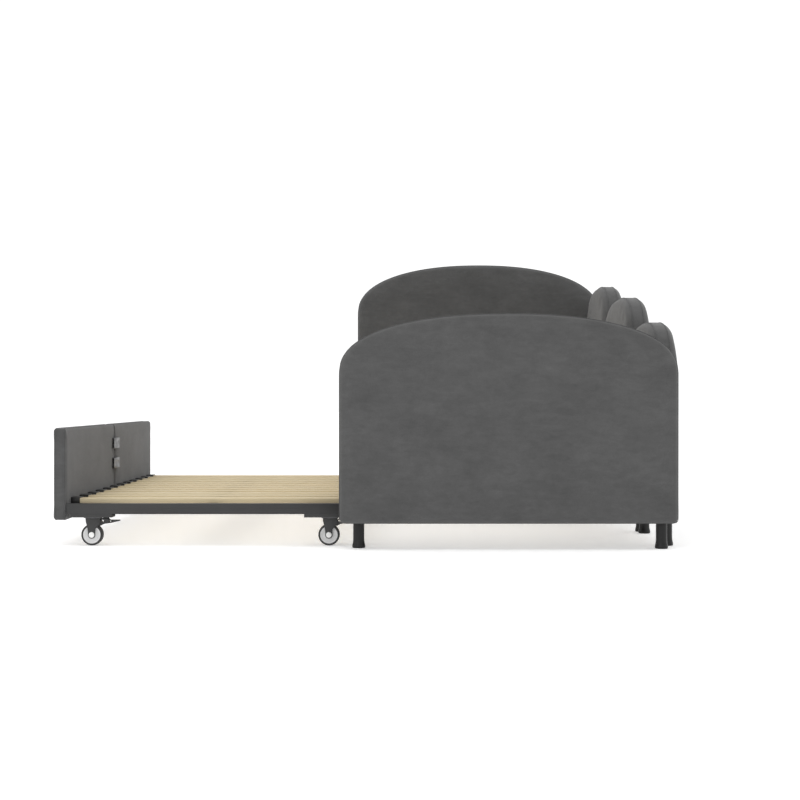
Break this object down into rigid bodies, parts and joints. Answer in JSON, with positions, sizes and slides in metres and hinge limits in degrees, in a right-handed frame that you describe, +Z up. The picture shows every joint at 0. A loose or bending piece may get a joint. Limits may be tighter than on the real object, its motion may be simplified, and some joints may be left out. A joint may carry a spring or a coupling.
{
  "type": "trundle bed",
  "caption": "Velvet daybed with arch-topped end and back panels on short round legs, and a slatted trundle bed on braked swivel casters that rolls out from under it.",
  "frame": {"origin": "on the floor, at the centre of the footprint with the trundle pulled out as at rest", "axes": "+X along the bed towards the low foot end panel, -Y towards the side the trundle pulls out of, +Z up"},
  "size_m": [2.22, 2.084, 1.092],
  "materials": {
    "velvet": "grey velvet with a short mottled nap",
    "timber": "planed softwood",
    "fibreboard": "thin hardboard",
    "pine": "planed pale pine, unvarnished",
    "coated_steel": "dark grey powder coat, fine texture",
    "zinc_steel": "zinc plated steel",
    "black_plastic": "moulded black plastic",
    "leg_plastic": "satin black moulded plastic",
    "tyre_rubber": "dark grey rubber tread",
    "wheel_plastic": "light grey moulded plastic",
    "hub_plastic": "light grey axle caps"
  },
  "bodies": {
    "daybed": {"foot_panel_frame": "timber", "foot_panel_padding": "velvet", "head_panel_frame": "timber", "head_panel_padding": "velvet", "end_panel_facings": "fibreboard", "back_foot_frame": "timber", "back_foot_padding": "velvet", "back_mid_frame": "timber", "back_mid_padding": "velvet", "back_head_frame": "timber", "back_head_padding": "velvet", "back_panel_facings": "fibreboard", "front_rail_board": "timber", "front_rail_padding": "velvet", "rear_rail": "timber", "front_ledger": "timber", "centre_beam": "coated_steel", "beam_hangers": "coated_steel", "corner_brackets": "coated_steel", "frame_bolts": "zinc_steel", "deck_slats": "pine", "deck_slat_caps": "black_plastic", "end_panel_legs": "leg_plastic", "back_panel_legs": "leg_plastic", "leg_studs": "zinc_steel"},
    "trundle": {"trundle_panel_boards": "fibreboard", "trundle_panel_foot_padding": "velvet", "trundle_panel_head_padding": "velvet", "joining_plates": "zinc_steel", "trundle_panel_screws": "zinc_steel", "trundle_front_rail": "coated_steel", "trundle_rear_rail": "coated_steel", "trundle_centre_rail": "coated_steel", "trundle_end_rails": "coated_steel", "rail_end_plugs": "black_plastic", "trundle_slats": "pine", "trundle_slat_caps": "black_plastic", "caster_mounts": "coated_steel", "caster_top_plates": "zinc_steel"},
    "caster_front_foot": {"fork_front_foot": "coated_steel", "axle_front_foot": "hub_plastic"},
    "wheel_body_front_foot": {"wheel_front_foot": "wheel_plastic", "tyre_front_foot": "tyre_rubber"},
    "brake_body_front_foot": {"brake_front_foot": "coated_steel"},
    "caster_front_head": {"fork_front_head": "coated_steel", "axle_front_head": "hub_plastic"},
    "wheel_body_front_head": {"wheel_front_head": "wheel_plastic", "tyre_front_head": "tyre_rubber"},
    "brake_body_front_head": {"brake_front_head": "coated_steel"},
    "caster_rear_foot": {"fork_rear_foot": "coated_steel", "axle_rear_foot": "hub_plastic"},
    "wheel_body_rear_foot": {"wheel_rear_foot": "wheel_plastic", "tyre_rear_foot": "tyre_rubber"},
    "brake_body_rear_foot": {"brake_rear_foot": "coated_steel"},
    "caster_rear_head": {"fork_rear_head": "coated_steel", "axle_rear_head": "hub_plastic"},
    "wheel_body_rear_head": {"wheel_rear_head": "wheel_plastic", "tyre_rear_head": "tyre_rubber"},
    "brake_body_rear_head": {"brake_rear_head": "coated_steel"}
  },
  "joints": [
    {"name": "trundle_slide", "type": "slide", "parent": "daybed", "child": "trundle", "axis": [0, 1, 0], "range_m": [-0.3, 0.955]},
    {"name": "swivel_front_foot", "type": "hinge", "parent": "trundle", "child": "caster_front_foot", "pos_m": [0.914, -0.9115, 0.09], "axis": [0, 0, 1], "continuous": true},
    {"name": "roll_front_foot", "type": "hinge", "parent": "caster_front_foot", "child": "wheel_body_front_foot", "pos_m": [0.914, -0.9155, 0.036], "axis": [1, 0, 0], "continuous": true},
    {"name": "brake_front_foot_press", "type": "hinge", "parent": "caster_front_foot", "child": "brake_body_front_foot", "pos_m": [0.914, -0.8915, 0.079], "axis": [-1, 0, 0], "range_deg": [0, 14]},
    {"name": "swivel_front_head", "type": "hinge", "parent": "trundle", "child": "caster_front_head", "pos_m": [-0.914, -0.9115, 0.09], "axis": [0, 0, 1], "continuous": true},
    {"name": "roll_front_head", "type": "hinge", "parent": "caster_front_head", "child": "wheel_body_front_head", "pos_m": [-0.914, -0.9155, 0.036], "axis": [1, 0, 0], "continuous": true},
    {"name": "brake_front_head_press", "type": "hinge", "parent": "caster_front_head", "child": "brake_body_front_head", "pos_m": [-0.914, -0.8915, 0.079], "axis": [-1, 0, 0], "range_deg": [0, 14]},
    {"name": "swivel_rear_foot", "type": "hinge", "parent": "trundle", "child": "caster_rear_foot", "pos_m": [0.914, -0.1175, 0.09], "axis": [0, 0, 1], "continuous": true},
    {"name": "roll_rear_foot", "type": "hinge", "parent": "caster_rear_foot", "child": "wheel_body_rear_foot", "pos_m": [0.914, -0.1215, 0.036], "axis": [1, 0, 0], "continuous": true},
    {"name": "brake_rear_foot_press", "type": "hinge", "parent": "caster_rear_foot", "child": "brake_body_rear_foot", "pos_m": [0.914, -0.0975, 0.079], "axis": [-1, 0, 0], "range_deg": [0, 14]},
    {"name": "swivel_rear_head", "type": "hinge", "parent": "trundle", "child": "caster_rear_head", "pos_m": [-0.914, -0.1175, 0.09], "axis": [0, 0, 1], "continuous": true},
    {"name": "roll_rear_head", "type": "hinge", "parent": "caster_rear_head", "child": "wheel_body_rear_head", "pos_m": [-0.914, -0.1215, 0.036], "axis": [1, 0, 0], "continuous": true},
    {"name": "brake_rear_head_press", "type": "hinge", "parent": "caster_rear_head", "child": "brake_body_rear_head", "pos_m": [-0.914, -0.0975, 0.079], "axis": [-1, 0, 0], "range_deg": [0, 14]}
  ]
}
